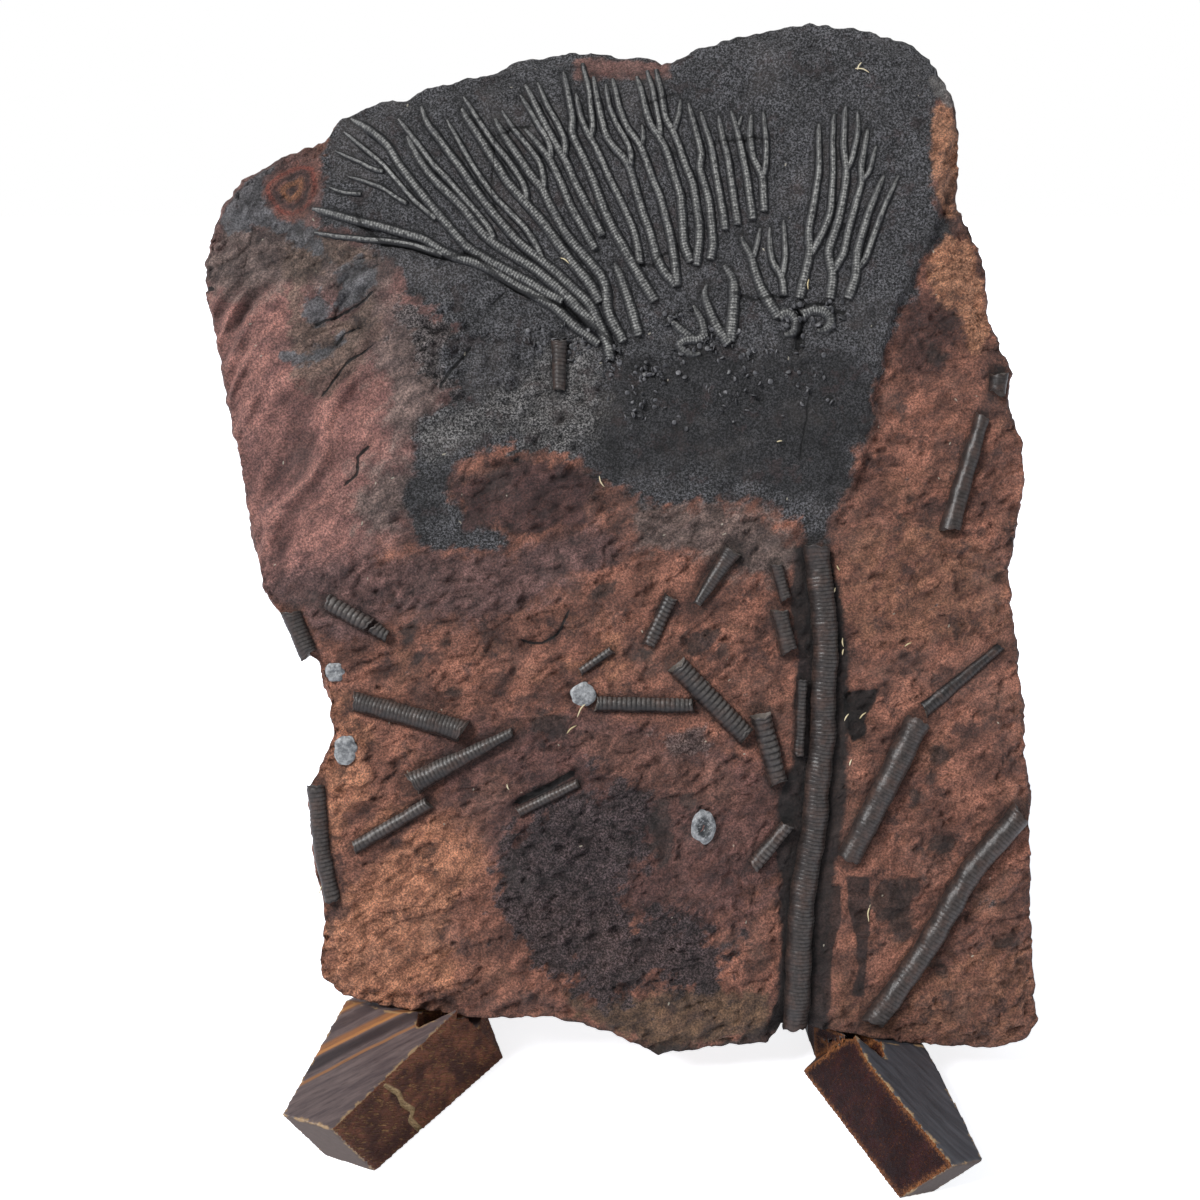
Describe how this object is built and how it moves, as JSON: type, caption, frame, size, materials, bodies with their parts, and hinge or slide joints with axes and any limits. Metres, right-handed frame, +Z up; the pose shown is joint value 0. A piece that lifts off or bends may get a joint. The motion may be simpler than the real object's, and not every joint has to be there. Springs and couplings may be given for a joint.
{
  "type": "crinoid fossil",
  "caption": "Leaning slab of red-brown bedded stone with a crinoid crown, its long stem and loose stem pieces in relief, held upright in the notches of tapered wooden feet.",
  "frame": {"origin": "middle of the footprint, on the floor that the feet stand on", "axes": "+Z up, -Y towards the viewer in front of the fossil's face, +X to the viewer's right; the slab leans back, towards +Y, by 20 degrees"},
  "size_m": [0.246, 0.1702, 0.2945],
  "materials": {
    "stone": "matt, rough, with slightly shiny dark fossils",
    "wood": "dark stained, smooth on top and rough sawn on the inner side"
  },
  "bodies": {
    "root": {"slab": "stone", "left_foot": "wood", "right_foot": "wood"}
  },
  "joints": []
}
